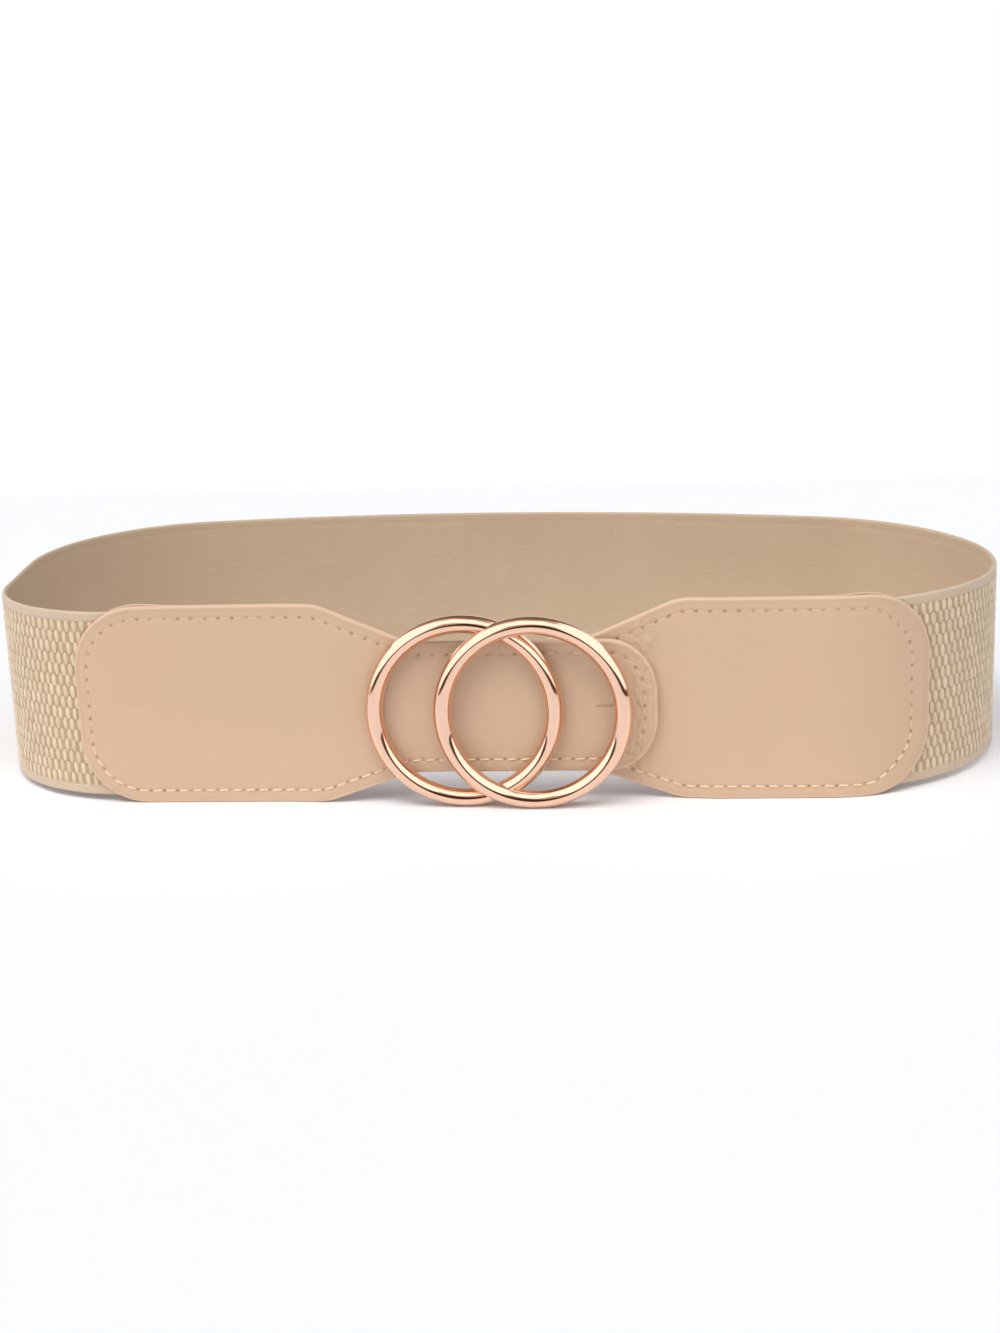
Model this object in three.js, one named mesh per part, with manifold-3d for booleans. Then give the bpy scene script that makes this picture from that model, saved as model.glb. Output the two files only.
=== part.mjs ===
import * as THREE from "three";
import { mergeVertices } from "three/addons/utils/BufferGeometryUtils.js";
import Module from "manifold-3d";

// An elastic stretch belt with leather ends and a double ring buckle, closed and standing on its edge.
// Millimetres, +Z up. X runs along the front, the buckle faces -Y, and the origin is on the floor under
// the middle of the belt. A place along the belt is its distance from the middle of the buckle, measured
// round the webbing's outer face and positive to the right. A place across the wall is a distance out
// from that face.

// The loop
const LOOP_LENGTH = 826;
const BUCKLE_SHIFT = 11.1; // from the middle of the straight front to the middle of the buckle

// Each bend of the loop from above, counter-clockwise from the right end of the straight front.
// A radius is a share of LOOP_LENGTH, a turn is in degrees, and the turns add up to a full circle.
const BENDS = [
  { name: "front right", radius: 0.071, turn: 75 },
  { name: "right end", radius: 0.086, turn: 91 },
  { name: "back", radius: 0.675, turn: 23 },
  { name: "left end", radius: 0.0735, turn: 85 },
  { name: "front left", radius: 0.055, turn: 86 },
];

// The elastic webbing
const WEB_WIDTH = 60;
const WEB_THICKNESS = 1.8;
const WEB_EDGE = 0.4;
const SETTLE_LENGTH = 110; // past each leather end the webbing comes down to the floor over this length

// The leather ends
const LEATHER = 1.2; // one layer
const LEATHER_EDGE = 0.5;
const PATCH_HEIGHT = 64;
const PATCH_LENGTH = 74;
const PATCH_CORNER = 21;
const TAPER_LENGTH = 35;
const NECK_HEIGHT = 42;
const NECK_LENGTH = 48;
const NECK_DROP = 1.1; // the neck's middle is this much lower than the patch's
const TONGUE_REACH = 48.7; // from the middle of the buckle to the tongue's tip
const TONGUE_ROUND = 15.5; // length of the tongue's rounded end
const TONGUE_FLAT = 8; // height of the straight stretch at its tip
const UNDERLAP = 38; // how far the right neck runs on under the tongue
const UNDERLAP_ROUND = 7; // corner of its hidden end
const LAP_BLEND = 20; // past the tongue's tip both ends come back into line over this length
const POCKET_DEPTH = 20; // length of webbing sewn in between the layers
const POCKET_BLEND = 14; // length over which the layers close up past the webbing's end

// The double ring
const RING_DIAMETER = 61.2;
const WIRE = 5.6;
const RING_SPACING = 21.2;
const RING_STEP = 2; // the right ring stands this far in front of the left one
const RING_SAG = 0.4; // the left ring's middle is this much lower than the neck's
const RING_DROP = 0.2; // and the right ring's is lower again
const LUG_LENGTH = 3;
const LUG_THICKNESS = 1;
const LUG_DEPTH = 1.2;
const SLIT_REACH = 6.4; // the right lug's slit runs on inside its ring for this length

// The snap
const SNAP_INSET = 27.2; // from the tongue's tip
const SNAP_FLANGE = 12;
const SNAP_FLANGE_THICKNESS = 0.8;
const SNAP_POST = 4;
const SNAP_HEAD = 8;
const SNAP_HEAD_THICKNESS = 1;

const CLEARANCE = 0.3;
const STEP = 6; // longest stretch between two sections
const RAMP_EASE = 0.2; // share of a taper or blend over which each end of it is eased

const wasm = await Module();
wasm.setup();

const radians = THREE.MathUtils.degToRad;

// The loop's arcs and straights in order. Two straights close it: the left side, which comes before the
// last bend, and the front, which comes last. Everything is then scaled to the loop's length.
function makeLoop() {
  const walk = (side, front, scale) => {
    const pieces = [];
    const end = { x: 0, y: 0, heading: 0, start: 0 };
    const add = (length, radius) => {
      pieces.push({ ...end, length, radius });
      const next = along(pieces.at(-1), length);
      Object.assign(end, { x: next.x, y: next.y, heading: next.heading, start: end.start + length });
    };
    BENDS.forEach(({ radius, turn }, i) => {
      if (i === BENDS.length - 1 && side) add(side * scale, Infinity);
      add(radius * scale * radians(turn), radius * scale);
    });
    if (front) add(front * scale, Infinity);
    return { pieces, end };
  };
  const heading = radians(360 - BENDS.at(-1).turn);
  const open = walk(0, 0, 1).end;
  const side = -open.y / Math.sin(heading);
  const front = -open.x - side * Math.cos(heading);
  const scale = LOOP_LENGTH / walk(side, front, 1).end.start;
  return { pieces: walk(side, front, scale).pieces, front: front * scale };
}

// The point and heading a distance along one arc or straight.
function along({ x, y, heading, radius }, distance) {
  if (radius === Infinity) {
    return { x: x + distance * Math.cos(heading), y: y + distance * Math.sin(heading), heading };
  }
  const turned = heading + distance / radius;
  return {
    x: x + radius * (Math.sin(turned) - Math.sin(heading)),
    y: y - radius * (Math.cos(turned) - Math.cos(heading)),
    heading: turned,
  };
}

const loop = makeLoop();

// The point at a place along the belt, a distance out from the webbing's outer face and a height.
function beltPoint(place, out, height) {
  const start = loop.front / 2 - BUCKLE_SHIFT;
  const distance = THREE.MathUtils.euclideanModulo(place - start, LOOP_LENGTH);
  const piece = loop.pieces.findLast((p) => p.start <= distance);
  const { x, y, heading } = along(piece, distance - piece.start);
  return new THREE.Vector3(x + out * Math.sin(heading), y - out * Math.cos(heading), height);
}

// 0 to 1 as t goes from 0 to 1: a straight ramp with each end eased over a share of it.
function softRamp(t) {
  const ease = RAMP_EASE;
  const u = THREE.MathUtils.clamp(t, 0, 1);
  if (u < ease) return (u * u) / (2 * ease * (1 - ease));
  if (u > 1 - ease) return 1 - (1 - u) ** 2 / (2 * ease * (1 - ease));
  return (u - ease / 2) / (1 - ease);
}

// Half the height of a strip near an end that is rounded by a quarter ellipse at each corner.
function roundedHalf(half, fromEnd, length, flatHalf) {
  if (fromEnd >= length) return half;
  return flatHalf + (half - flatHalf) * Math.sqrt(1 - (1 - fromEnd / length) ** 2);
}

// Places from one end of a strip to the other, at the given marks and no further apart than STEP.
function stations(marks) {
  const sorted = [...new Set(marks)].sort((a, b) => a - b);
  return sorted.flatMap((from, i) => {
    if (i === sorted.length - 1) return [from];
    const count = Math.ceil((sorted[i + 1] - from) / STEP);
    return Array.from({ length: count }, (_, k) => from + ((sorted[i + 1] - from) * k) / count);
  });
}

// Places that follow a rounded end closely, from the end inwards.
function roundedMarks(end, inward, length) {
  const count = 7;
  return Array.from(
    { length: count + 1 },
    (_, k) => end + inward * length * (1 - Math.cos((k / count) * (Math.PI / 2))),
  );
}

// Places that follow the eased ends of a ramp closely.
function rampMarks(start, length) {
  const eased = [0, 0.35, 0.7, 1].map((share) => share * RAMP_EASE);
  return [...eased, ...eased.map((share) => 1 - share)].map((share) => start + share * length);
}

// A closed skin through a strip's sections. Each section is a rectangle, low to high and back to front,
// with its four corners cut off at 45 degrees.
function stripGeometry(places, section) {
  const rings = places.map((place) => {
    const { low, high, back, front, edge } = section(place);
    return [
      [front, low + edge],
      [front, high - edge],
      [front - edge, high],
      [back + edge, high],
      [back, high - edge],
      [back, low + edge],
      [back + edge, low],
      [front - edge, low],
    ].map(([out, height]) => beltPoint(place, out, height));
  });
  const corners = rings[0].length;
  const faces = [];
  for (let i = 0; i < rings.length - 1; i++) {
    for (let k = 0; k < corners; k++) {
      const next = (k + 1) % corners;
      const [a, b] = [i * corners + k, i * corners + next];
      const [c, d] = [a + corners, b + corners];
      faces.push(a, c, b, b, c, d);
    }
  }
  const last = (rings.length - 1) * corners;
  for (let k = 1; k < corners - 1; k++) {
    faces.push(0, k, k + 1, last, last + k + 1, last + k);
  }
  return new THREE.BufferGeometry().setFromPoints(rings.flat()).setIndex(faces);
}

function solidFrom(geometry) {
  const bare = geometry.clone();
  bare.deleteAttribute("normal");
  bare.deleteAttribute("uv");
  const merged = mergeVertices(bare);
  return new wasm.Manifold(
    new wasm.Mesh({
      numProp: 3,
      vertProperties: merged.attributes.position.array,
      triVerts: new Uint32Array(merged.index.array),
    }),
  );
}

function geometryFrom(solid) {
  const { vertProperties, triVerts } = solid.getMesh();
  const geometry = new THREE.BufferGeometry();
  geometry.setAttribute("position", new THREE.BufferAttribute(vertProperties, 3));
  geometry.setIndex(new THREE.BufferAttribute(triVerts, 1));
  geometry.computeVertexNormals();
  return geometry;
}

// A block or a disc whose middle is at a place along the straight front, between two distances out.
function block(place, length, height, thickness, back, front) {
  const middle = beltPoint(place, (back + front) / 2, height);
  const geometry = new THREE.BoxGeometry(length, front - back, thickness);
  return solidFrom(geometry.translate(middle.x, middle.y, middle.z));
}

function disc(place, height, diameter, back, front) {
  const middle = beltPoint(place, (back + front) / 2, height);
  const geometry = new THREE.CylinderGeometry(diameter / 2, diameter / 2, front - back, 24);
  return solidFrom(geometry.translate(middle.x, middle.y, middle.z));
}

// Places, heights and depths that several pieces share
const snapPlace = TONGUE_REACH - SNAP_INSET;
const outerEnd = NECK_LENGTH / 2 + TAPER_LENGTH + PATCH_LENGTH;
const edgeStep = (PATCH_HEIGHT - WEB_WIDTH) / 2;
const neckMiddle = PATCH_HEIGHT / 2 - NECK_DROP;
const patchFront = CLEARANCE + LEATHER;
const lap = LEATHER + CLEARANCE / 2; // the tongue stands out by this much and the right neck lies in by it
const tongueFront = patchFront + lap;
const tongueBack = tongueFront - 2 * LEATHER;
const neckFront = tongueBack - CLEARANCE;
const neckBack = neckFront - 2 * LEATHER;

// The webbing, from the end of one pocket round the back to the end of the other.
function webSection(place) {
  const pastPatch = Math.min(place - outerEnd, LOOP_LENGTH - outerEnd - place);
  const low = edgeStep * (1 - softRamp(pastPatch / SETTLE_LENGTH));
  return { low, high: low + WEB_WIDTH, back: -WEB_THICKNESS, front: 0, edge: WEB_EDGE };
}

function elasticBand() {
  const first = outerEnd - POCKET_DEPTH + CLEARANCE;
  const marks = [first, outerEnd, LOOP_LENGTH - outerEnd, LOOP_LENGTH - first];
  return stripGeometry(stations(marks), webSection);
}

// One leather end. side is 1 for the right one and -1 for the left one, reach is where its neck ends,
// counted outwards from the middle of the buckle, and shift moves the neck out or in.
function leatherEnd({ side, reach, shift, round, flat }) {
  const section = (place) => {
    const outward = side * place;
    const taper = softRamp((outward - NECK_LENGTH / 2) / TAPER_LENGTH);
    const full = THREE.MathUtils.lerp(NECK_HEIGHT, PATCH_HEIGHT, taper) / 2;
    const cornered = roundedHalf(full, outerEnd - outward, PATCH_CORNER, PATCH_HEIGHT / 2 - PATCH_CORNER);
    const half = roundedHalf(cornered, outward - reach, round, flat / 2);
    const middle = THREE.MathUtils.lerp(neckMiddle, PATCH_HEIGHT / 2, taper);
    const open = softRamp((outward - (outerEnd - POCKET_DEPTH - POCKET_BLEND)) / POCKET_BLEND);
    const inLine = softRamp((outward - TONGUE_REACH - CLEARANCE) / LAP_BLEND);
    const front = patchFront + shift * (1 - inLine);
    const thickness = 2 * LEATHER + open * (WEB_THICKNESS + 2 * CLEARANCE);
    return { low: middle - half, high: middle + half, back: front - thickness, front, edge: LEATHER_EDGE };
  };
  const marks = [
    ...roundedMarks(outerEnd, -1, PATCH_CORNER),
    ...roundedMarks(reach, 1, round),
    ...rampMarks(NECK_LENGTH / 2, TAPER_LENGTH),
    ...rampMarks(TONGUE_REACH + CLEARANCE, LAP_BLEND),
    ...rampMarks(outerEnd - POCKET_DEPTH - POCKET_BLEND, POCKET_BLEND),
  ].map((mark) => side * mark);
  const pocketSection = () => ({
    low: edgeStep - CLEARANCE,
    high: edgeStep + WEB_WIDTH + CLEARANCE,
    back: -WEB_THICKNESS - CLEARANCE,
    front: CLEARANCE,
    edge: WEB_EDGE,
  });
  const pocket = stations([side * (outerEnd - POCKET_DEPTH), side * (outerEnd + STEP)]);
  const body = solidFrom(stripGeometry(stations(marks), section));
  return body.subtract(solidFrom(stripGeometry(pocket, pocketSection)));
}

// Where each lug stands, under the outermost point of its ring.
const lugPlace = RING_SPACING / 2 + RING_DIAMETER / 2 - WIRE / 2;
const slitHeight = LUG_THICKNESS + 2 * CLEARANCE;
const slitLength = LUG_LENGTH + 2 * CLEARANCE;
const slitFloor = tongueFront - LUG_DEPTH - CLEARANCE;

function leftPatch() {
  const body = leatherEnd({
    side: -1,
    reach: -TONGUE_REACH,
    shift: lap,
    round: TONGUE_ROUND,
    flat: TONGUE_FLAT,
  });
  const above = tongueFront + WIRE;
  const leftSlit = block(-lugPlace, slitLength, neckMiddle, slitHeight, slitFloor, above);
  const rightSlit = block(
    lugPlace - SLIT_REACH / 2,
    slitLength + SLIT_REACH,
    neckMiddle,
    slitHeight,
    slitFloor,
    above,
  );
  const headDepth = SNAP_HEAD_THICKNESS + CLEARANCE;
  const snapSeat = disc(
    snapPlace,
    neckMiddle,
    SNAP_HEAD + 2 * CLEARANCE,
    tongueBack - LEATHER,
    tongueBack + headDepth,
  );
  return geometryFrom(body.subtract(leftSlit).subtract(rightSlit).subtract(snapSeat));
}

function rightPatch() {
  const body = leatherEnd({
    side: 1,
    reach: TONGUE_REACH - UNDERLAP,
    shift: -lap,
    round: UNDERLAP_ROUND,
    flat: NECK_HEIGHT - 2 * UNDERLAP_ROUND,
  });
  const hole = SNAP_POST + 2 * CLEARANCE;
  return geometryFrom(
    body.subtract(disc(snapPlace, neckMiddle, hole, neckBack - LEATHER, neckFront + LEATHER)),
  );
}

// Two rings that cross, cast in one piece, each with a lug at its outer side that enters the leather.
function doubleRing() {
  const rings = [
    { side: -1, sag: RING_SAG, out: tongueFront + CLEARANCE + WIRE / 2 },
    { side: 1, sag: RING_SAG + RING_DROP, out: tongueFront + CLEARANCE + WIRE / 2 + RING_STEP },
  ].map(({ side, sag, out }) => {
    const middle = beltPoint((side * RING_SPACING) / 2, out, neckMiddle - sag);
    const torus = new THREE.TorusGeometry((RING_DIAMETER - WIRE) / 2, WIRE / 2, 14, 72)
      .rotateX(Math.PI / 2)
      .translate(middle.x, middle.y, middle.z);
    const lugBack = tongueFront - LUG_DEPTH;
    const lug = block(side * lugPlace, LUG_LENGTH, neckMiddle, LUG_THICKNESS, lugBack, out);
    return solidFrom(torus).add(lug);
  });
  return geometryFrom(rings[0].add(rings[1]));
}

// A flange behind the right neck, a post through it and a head in the back of the tongue.
function hiddenSnap() {
  const flangeFront = neckBack - CLEARANCE;
  const headBack = tongueBack;
  const headFront = headBack + SNAP_HEAD_THICKNESS;
  const profile = [
    [0, flangeFront - SNAP_FLANGE_THICKNESS],
    [SNAP_FLANGE / 2, flangeFront - SNAP_FLANGE_THICKNESS],
    [SNAP_FLANGE / 2, flangeFront],
    [SNAP_POST / 2, flangeFront],
    [SNAP_POST / 2, headBack],
    [SNAP_HEAD / 2, headBack],
    [SNAP_HEAD / 2, headFront],
    [0, headFront],
  ].map(([radius, out]) => new THREE.Vector2(radius, out));
  const foot = beltPoint(snapPlace, 0, neckMiddle);
  const lathe = new THREE.LatheGeometry(profile, 24).rotateX(Math.PI);
  return geometryFrom(solidFrom(lathe.translate(foot.x, foot.y, foot.z)));
}

const materials = {
  webbing: new THREE.MeshStandardMaterial({ color: "#dcc79c", roughness: 0.9, metalness: 0 }),
  leather: new THREE.MeshStandardMaterial({ color: "#d6b496", roughness: 0.55, metalness: 0 }),
  roseGold: new THREE.MeshStandardMaterial({ color: "#eab89c", roughness: 0.12, metalness: 1 }),
  nickel: new THREE.MeshStandardMaterial({ color: "#c9c7c2", roughness: 0.3, metalness: 1 }),
};

const belt = new THREE.Group();
[
  { name: "elastic_band", geometry: elasticBand(), material: materials.webbing },
  { name: "left_patch", geometry: leftPatch(), material: materials.leather },
  { name: "right_patch", geometry: rightPatch(), material: materials.leather },
  { name: "double_ring", geometry: doubleRing(), material: materials.roseGold },
  { name: "hidden_snap", geometry: hiddenSnap(), material: materials.nickel },
].forEach(({ name, geometry, material }) => {
  const mesh = new THREE.Mesh(geometry, material);
  mesh.name = name;
  belt.add(mesh);
});

const box = new THREE.Box3().setFromObject(belt);
const middle = box.getCenter(new THREE.Vector3());
belt.position.set(-middle.x, -middle.y, -box.min.z);

export default belt;
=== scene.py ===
import math

import bmesh
import bpy
import numpy as np
from mathutils import Matrix, Vector


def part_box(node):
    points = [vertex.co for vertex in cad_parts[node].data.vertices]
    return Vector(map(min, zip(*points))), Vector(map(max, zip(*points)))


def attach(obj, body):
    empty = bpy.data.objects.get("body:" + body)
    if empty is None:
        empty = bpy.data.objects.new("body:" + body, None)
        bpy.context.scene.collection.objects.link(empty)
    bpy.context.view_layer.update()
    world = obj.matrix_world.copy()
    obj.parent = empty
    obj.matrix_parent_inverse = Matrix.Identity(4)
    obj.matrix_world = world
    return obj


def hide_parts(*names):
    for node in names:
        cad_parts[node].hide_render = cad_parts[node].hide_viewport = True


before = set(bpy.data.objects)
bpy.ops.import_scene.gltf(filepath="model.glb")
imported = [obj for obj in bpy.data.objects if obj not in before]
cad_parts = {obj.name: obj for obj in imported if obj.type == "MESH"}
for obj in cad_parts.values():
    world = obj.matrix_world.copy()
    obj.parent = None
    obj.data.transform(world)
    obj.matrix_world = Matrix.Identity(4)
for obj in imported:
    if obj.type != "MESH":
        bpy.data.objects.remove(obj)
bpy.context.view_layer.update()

# An elastic stretch belt with leather ends and a double ring buckle, closed and standing on its edge.
# Metres, +Z up. A place along the belt is its distance from the middle of the buckle, measured round the
# webbing's outer face and positive to the right. A distance out is counted from that face, away from
# the waist. A distance outward along a leather end is counted from the middle of the buckle.

MM = 0.001

# The loop
LOOP_LENGTH = 826 * MM
BUCKLE_SHIFT = 11.1 * MM
BENDS = (  # radius as a share of the loop's length, and degrees turned, from the right end of the front
    (0.071, 75),
    (0.086, 91),
    (0.675, 23),
    (0.0735, 85),
    (0.055, 86),
)

# The elastic webbing
WEB_WIDTH = 60 * MM
WEB_THICKNESS = 1.8 * MM
SETTLE_LENGTH = 110 * MM
SELVAGE = 3 * MM
SELVAGE_ROUND = 0.8 * MM
WEB_SKIN = 0.1 * MM  # the strap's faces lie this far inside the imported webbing's
GROUND_DEPTH = 0.42 * MM  # the ground between the floats lies this far below their tops
WEB_STEP = 1.5 * MM
FLOAT_ROWS = 15
FLOAT_PITCH = 2.75 * MM
FLOAT_LENGTH = 4.3 * MM
FLOAT_WIDTH = 1.85 * MM
FLOAT_SLANT = math.radians(4)
FLOAT_STRAY_ALONG = 0.08 * MM
FLOAT_STRAY_UP = 0.13 * MM
FLOAT_STRAY_WIDTH = 0.05

# The leather ends
LEATHER = 1.2 * MM
PATCH_HEIGHT = 64 * MM
PATCH_LENGTH = 74 * MM
PATCH_CORNER = 21 * MM
TAPER_LENGTH = 35 * MM
NECK_HEIGHT = 42 * MM
NECK_LENGTH = 48 * MM
NECK_DROP = 1.1 * MM
TONGUE_REACH = 48.7 * MM
TONGUE_ROUND = 15.5 * MM
TONGUE_FLAT = 8 * MM
UNDERLAP = 38 * MM
UNDERLAP_ROUND = 7 * MM
LAP_BLEND = 20 * MM
POCKET_DEPTH = 20 * MM
POCKET_BLEND = 14 * MM
RAMP_EASE = 0.2

# The leather's relief
EDGE_HEIGHT = 0.4 * MM  # where a layer's edge is upright, counted from its hidden face
EDGE_ROUND_BACK = 0.35 * MM
EDGE_ROUND_FRONT = 0.6 * MM
RIM_RISE = 0.03 * MM
GROOVE_DEPTH = 0.1 * MM
DIMPLE_DEPTH = 0.26 * MM
PUCKER = 0.05 * MM
SWELL = 0.12 * MM
CRUMPLE_MIDDLE = 49.5 * MM  # to the right, where the tongue's tip is crumpled
CRUMPLE_WIDTH = 4 * MM

# The sewing
STITCH_PITCH = 4.25 * MM
STITCH_INSET = 4 * MM
RIGHT_END_INSET = 2.6 * MM  # the right patch's seam turns this much further in at its outer end
SAMPLES_PER_STITCH = 8
THREAD = 0.6 * MM
THREAD_START = 0.44 * MM  # a thread's middle starts this far below the leather's full height
THREAD_BULGE = 0.46 * MM
THREAD_PULL = 0.3 * MM  # tighter stitches bulge this much less
HOLE = 0.45 * MM

# The double ring
RING_DIAMETER = 61.2 * MM
WIRE = 5.6 * MM
WIRE_RIDGE = 1.55  # 2 would make the wire's front half round, and less gives it a soft ridge
RING_SPACING = 21.2 * MM
RING_STEP = 2 * MM
RING_SAG = 0.4 * MM
RING_DROP = 0.2 * MM
LUG_LENGTH = 3 * MM
LUG_THICKNESS = 1 * MM
LUG_DEPTH = 1.2 * MM
SLIT_REACH = 6.4 * MM
SLIT_HEIGHT = 0.5 * MM
SLIT_DEPTH = LEATHER / 2
SLIT_EASE = 0.4 * MM
SLIT_LIP = 0.12 * MM
RING_STEPS = 256
WIRE_STEPS = 64

# The snap
SNAP_INSET = 27.2 * MM
SNAP_FLANGE = 12 * MM
SNAP_FLANGE_THICKNESS = 0.8 * MM
SNAP_FLANGE_ROUND = 0.5 * MM
SNAP_FLANGE_DOME = 0.25 * MM
SNAP_POST = 4 * MM
SNAP_HEAD = 8 * MM
SNAP_HEAD_THICKNESS = 1 * MM

# The light
WALL_SHINE = 1.6
FRONT_LIGHT = 4.8
BAND_SHADE = 0.92

CLEARANCE = 0.3 * MM

OUTER_END = NECK_LENGTH / 2 + TAPER_LENGTH + PATCH_LENGTH
EDGE_STEP = (PATCH_HEIGHT - WEB_WIDTH) / 2
NECK_MIDDLE = PATCH_HEIGHT / 2 - NECK_DROP
PATCH_FRONT = CLEARANCE + LEATHER
LAP = LEATHER + CLEARANCE / 2
TONGUE_FRONT = PATCH_FRONT + LAP
TONGUE_BACK = TONGUE_FRONT - 2 * LEATHER
NECK_FRONT = TONGUE_BACK - CLEARANCE
NECK_BACK = NECK_FRONT - 2 * LEATHER
LUG_PLACE = RING_SPACING / 2 + RING_DIAMETER / 2 - WIRE / 2
SNAP_PLACE = TONGUE_REACH - SNAP_INSET

rng = np.random.default_rng(7)


def soft_ramp(t):
    """0 to 1 as t goes from 0 to 1: a straight line whose two ends are parabolas over a share RAMP_EASE."""
    t = np.clip(t, 0, 1)
    curve = 2 * RAMP_EASE * (1 - RAMP_EASE)
    straight = (t - RAMP_EASE / 2) / (1 - RAMP_EASE)
    ends = np.where(t < 0.5, t**2 / curve, 1 - (1 - t) ** 2 / curve)
    return np.where(np.abs(t - 0.5) < 0.5 - RAMP_EASE, straight, ends)


def smooth(low, high, x):
    """0 up to low, 1 from high on, and 3t^2 - 2t^3 between them."""
    t = np.clip((x - low) / (high - low), 0, 1)
    return t * t * (3 - 2 * t)


def hill(x, middle, width):
    """A bell curve 1 high: e to the power of minus ((x - middle) / width)^2."""
    return np.exp(-(((x - middle) / width) ** 2))


def along(x, y, heading, curvature, distance):
    """The end of an arc. Its chord is distance * sin(a) / a long and points at heading + a, where a is half
    the arc's turn. On a straight a is 0."""
    half = curvature * distance / 2
    chord = distance * np.sinc(half / math.pi)
    return x + chord * np.cos(heading + half), y + chord * np.sin(heading + half), heading + 2 * half


def walk(side, front, scale):
    """The loop's arcs and straights from the right end of the front: rows of start, x, y, heading and
    curvature. The straight side comes before the last bend and the straight front after it."""
    runs = [(share * scale * math.radians(turn), 1 / (share * scale)) for share, turn in BENDS]
    runs.insert(-1, (side * scale, 0.0))
    runs.append((front * scale, 0.0))
    rows = []
    start, x, y, heading = 0.0, 0.0, 0.0, 0.0
    for length, curvature in runs:
        rows.append((start, x, y, heading, curvature))
        x, y, heading = along(x, y, heading, curvature, length)
        start += length
    return np.array(rows), start, x, y


def make_loop():
    """The two straights are as long as closes the loop, and all of it is scaled to the belt's length."""
    _, _, x, y = walk(0, 0, 1)
    heading = math.radians(360 - BENDS[-1][1])
    side = -y / math.sin(heading)
    front = -x - side * math.cos(heading)
    scale = LOOP_LENGTH / walk(side, front, 1)[1]
    return walk(side, front, scale)[0], front * scale


loop, front_length = make_loop()
front_start = front_length / 2 - BUCKLE_SHIFT
shift = np.zeros(2)


def belt_point(place, out, height):
    """The points at places along the belt, distances out from the webbing's outer face and heights."""
    place, out, height = np.broadcast_arrays(place, out, height)
    distance = np.mod(place - front_start, LOOP_LENGTH)
    start, x, y, heading, curvature = loop[np.searchsorted(loop[:, 0], distance, side="right") - 1].T
    rest = (distance.T - start, curvature)
    x, y, heading = along(x, y, heading, rest[1], rest[0])
    points = (x.T + out * np.sin(heading.T) + shift[0], y.T - out * np.cos(heading.T) + shift[1], height)
    return np.stack(points, axis=-1)


def line_up():
    """The loop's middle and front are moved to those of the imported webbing's box."""
    low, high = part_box("elastic_band")
    loose = belt_point(np.linspace(0, LOOP_LENGTH, 4000), 0, 0)
    middle = (loose[:, 0].min() + loose[:, 0].max()) / 2
    return np.array(((low.x + high.x) / 2 - middle, low.y - loose[:, 1].min()))


shift = line_up()


# Meshes


def surface(points, closed_rows=False, closed_columns=False, uv=None):
    """Quads over a grid of points. A closed direction joins its last line of points to its first, and the
    grid of UV values then has one line more that way."""
    rows, columns = points.shape[:2]
    cells = np.indices((rows - (not closed_rows), columns - (not closed_columns))).reshape(2, -1, 1)
    row = cells[0] + np.array((0, 0, 1, 1))
    column = cells[1] + np.array((0, 1, 1, 0))
    quads = (row % rows) * columns + column % columns
    corners = np.zeros(quads.shape + (2,)) if uv is None else uv[row, column]
    return points.reshape(-1, 3), quads, corners


def outward(shell):
    """The closed shell with its faces turned out: they are reversed if the sum of the faces' triple
    products, six times the volume, is negative."""
    points, quads, corners = shell
    a, b, c, d = (points[quads[:, k]] - points.mean(0) for k in range(4))
    volume = np.sum(a * np.cross(b, c)) + np.sum(a * np.cross(c, d))
    return shell if volume > 0 else (points, quads[:, ::-1], corners[:, ::-1])


def copies(points, closed_rows=False, closed_columns=False, uv=None):
    """One shell from many alike grids of points, counted along the first axis. All are turned alike."""
    count = len(points)
    _, quads, corners = surface(points[0], closed_rows, closed_columns, uv)
    _, turned, corners = outward((points[0].reshape(-1, 3), quads, corners))
    size = points[0].size // 3
    quads = turned[None] + size * np.arange(count)[:, None, None]
    return points.reshape(-1, 3), quads.reshape(-1, 4), np.tile(corners, (count, 1, 1))


def joined(shells):
    """Several shells as one."""
    starts = np.cumsum([0] + [len(s[0]) for s in shells[:-1]])
    quads = np.concatenate([s[1] + start for s, start in zip(shells, starts)])
    return np.concatenate([s[0] for s in shells]), quads, np.concatenate([s[2] for s in shells])


def piece(name, shell, materials, replaces=(), face_material=None, shade=None):
    """Makes the mesh, merges the points that meet at poles and seams, and hides the parts it replaces."""
    points, quads, corners = shell
    mesh = bpy.data.meshes.new(name)
    mesh.vertices.add(len(points))
    mesh.vertices.foreach_set("co", points.astype(np.float32).ravel())
    mesh.loops.add(quads.size)
    mesh.loops.foreach_set("vertex_index", quads.astype(np.int32).ravel())
    mesh.polygons.add(len(quads))
    mesh.polygons.foreach_set("loop_start", np.arange(0, quads.size, 4, dtype=np.int32))
    mesh.update(calc_edges=True)
    mesh.uv_layers.new(name="surface").uv.foreach_set("vector", corners.astype(np.float32).ravel())
    for material in materials:
        mesh.materials.append(material)
    if face_material is not None:
        mesh.polygons.foreach_set("material_index", face_material.astype(np.int32))
    if shade is not None:
        mesh.attributes.new("shade", "FLOAT", "POINT").data.foreach_set("value", shade.astype(np.float32))
    made = bmesh.new()
    made.from_mesh(mesh)
    bmesh.ops.remove_doubles(made, verts=made.verts, dist=0.001 * MM)
    made.to_mesh(mesh)
    made.free()
    mesh.shade_smooth()
    new = bpy.data.objects.new(name, mesh)
    bpy.context.scene.collection.objects.link(new)
    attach(new, "root")
    if replaces:
        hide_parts(*replaces)
    return new


# Shaders


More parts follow.
